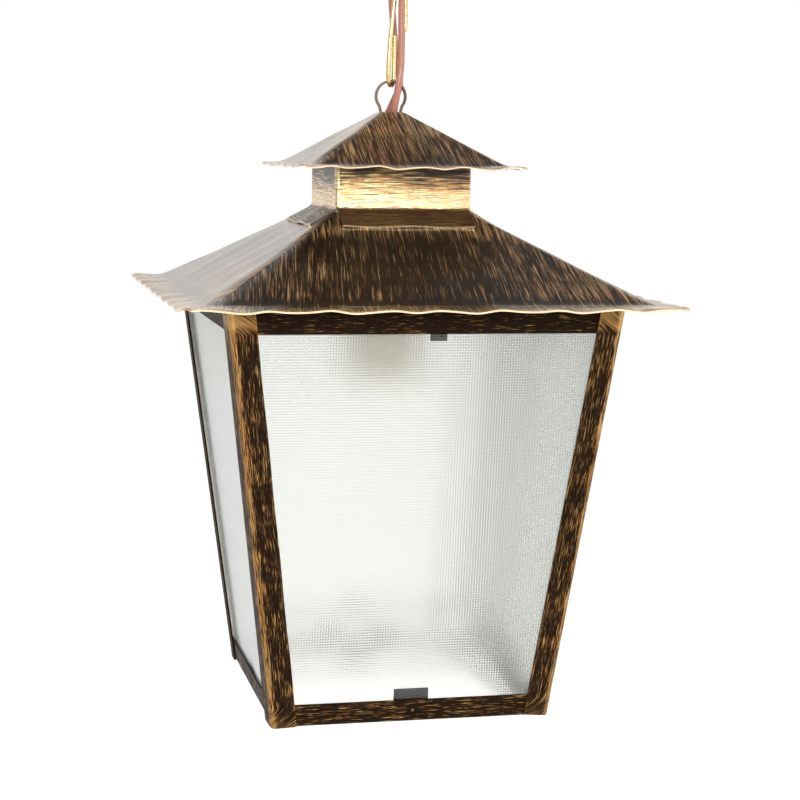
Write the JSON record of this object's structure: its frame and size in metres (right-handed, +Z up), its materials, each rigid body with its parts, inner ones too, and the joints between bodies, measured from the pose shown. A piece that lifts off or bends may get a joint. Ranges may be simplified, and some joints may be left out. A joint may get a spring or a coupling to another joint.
{
  "type": "hanging lantern",
  "caption": "Square tapered metal lantern with patterned glass panes, a two-tier pagoda roof and a lamp holder, hung by a wire link from a ceiling canopy.",
  "frame": {"origin": "on the ceiling, between the two holes of the mounting bar, straight above the lantern's axis", "axes": "+Z up, into the ceiling; -Y is the lantern's front face; +X to the right of the front face"},
  "size_m": [0.2382, 0.2382, 0.4],
  "materials": {
    "antique_steel": "black paint dry-brushed with antique gold",
    "gold_steel": "antique gold, brushed over black",
    "gilt_wire": "bright gilt wire",
    "patterned_glass": "pressed with a fine square grid",
    "black_steel": "satin black",
    "zinc_steel": "zinc plated",
    "brass_contact": "bare brass",
    "black_rubber": "matt",
    "porcelain": "white",
    "ivory_plastic": "ivory",
    "flex_pvc": "salmon pink, slightly translucent"
  },
  "bodies": {
    "ceiling_fitting": {"mounting_bar": "zinc_steel", "ceiling_canopy": "antique_steel", "ceiling_hook": "gilt_wire", "hook_nuts": "zinc_steel", "terminal_block": "ivory_plastic", "canopy_grommet": "black_rubber", "flex_upper": "flex_pvc"},
    "link": {"chain_link": "gilt_wire"},
    "lantern": {"hanging_loop": "antique_steel", "cap_roof": "antique_steel", "cap_grommet": "black_rubber", "collar": "gold_steel", "main_roof": "antique_steel", "post_front_left": "antique_steel", "post_front_right": "antique_steel", "post_back_right": "antique_steel", "post_back_left": "antique_steel", "top_rail_front": "antique_steel", "top_rail_right": "antique_steel", "top_rail_back": "antique_steel", "top_rail_left": "antique_steel", "bottom_rail_front": "antique_steel", "bottom_rail_right": "antique_steel", "bottom_rail_back": "antique_steel", "bottom_rail_left": "antique_steel", "glass_front": "patterned_glass", "glass_right": "patterned_glass", "glass_back": "patterned_glass", "glass_left": "patterned_glass", "top_glass_clips": "black_steel", "bottom_glass_clips": "black_steel", "holder_strap": "black_steel", "holder_nipple": "zinc_steel", "nipple_nuts": "zinc_steel", "holder_cap": "porcelain", "holder_skirt": "porcelain", "holder_insert": "porcelain", "screw_shell": "brass_contact", "centre_contact": "brass_contact", "inner_wires": "flex_pvc", "flex_lower": "flex_pvc"}
  },
  "joints": [
    {"name": "link_swing", "type": "hinge", "parent": "ceiling_fitting", "child": "link", "pos_m": [0, 0, -0.0435], "axis": [0.866, -0.5, 0], "range_deg": [-30, 30], "deforming": ["flex_upper"]},
    {"name": "lantern_swing", "type": "hinge", "parent": "link", "child": "lantern", "pos_m": [0, 0, -0.09245], "axis": [0.5, 0.866, 0], "range_deg": [-30, 30], "deforming": ["flex_lower"]}
  ]
}
